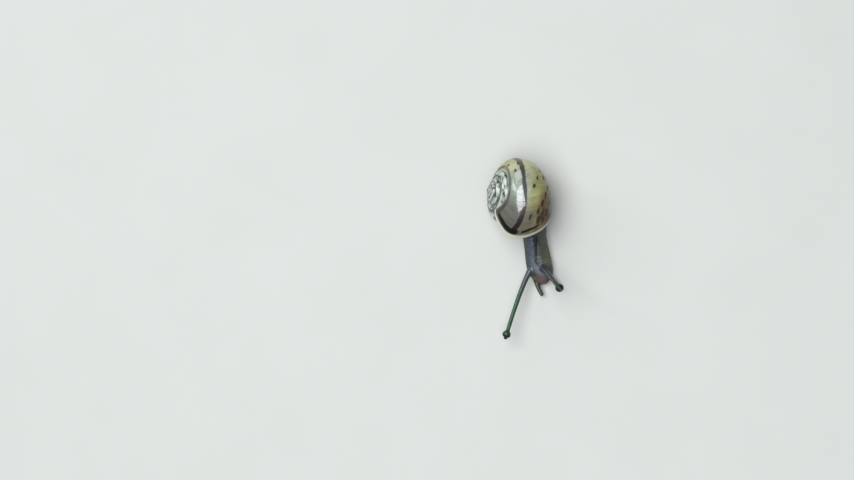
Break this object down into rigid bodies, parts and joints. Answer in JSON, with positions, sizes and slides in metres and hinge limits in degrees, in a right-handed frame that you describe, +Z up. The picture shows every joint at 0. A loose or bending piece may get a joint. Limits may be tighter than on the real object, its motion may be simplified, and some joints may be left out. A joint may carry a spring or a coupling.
{
  "type": "banded land snail",
  "caption": "Half-grown banded land snail, life size, crawling with its feelers out under a thin glossy coiled shell.",
  "frame": {"origin": "on the floor under the middle of the whole animal's box", "axes": "+Z up from the flat sole, -Y the way the snail crawls, +X its own left side"},
  "size_m": [0.0104, 0.0262, 0.011],
  "materials": {
    "shell": "very glossy, thin and slightly translucent olive yellow shell with one brown spiral band and dark mottling",
    "skin": "moist, fine-grained grey skin, darker along the back and on the feelers",
    "eye": "wet, glossy black"
  },
  "bodies": {
    "root": {"shell": "shell", "mantle_collar": "skin", "foot": "skin", "neck": "skin", "head": "skin", "mouth": "skin", "tail": "skin", "upper_feeler_right": "skin", "upper_feeler_left": "skin", "lower_feeler_right": "skin", "lower_feeler_left": "skin", "eye_right": "eye", "eye_left": "eye"}
  },
  "joints": []
}
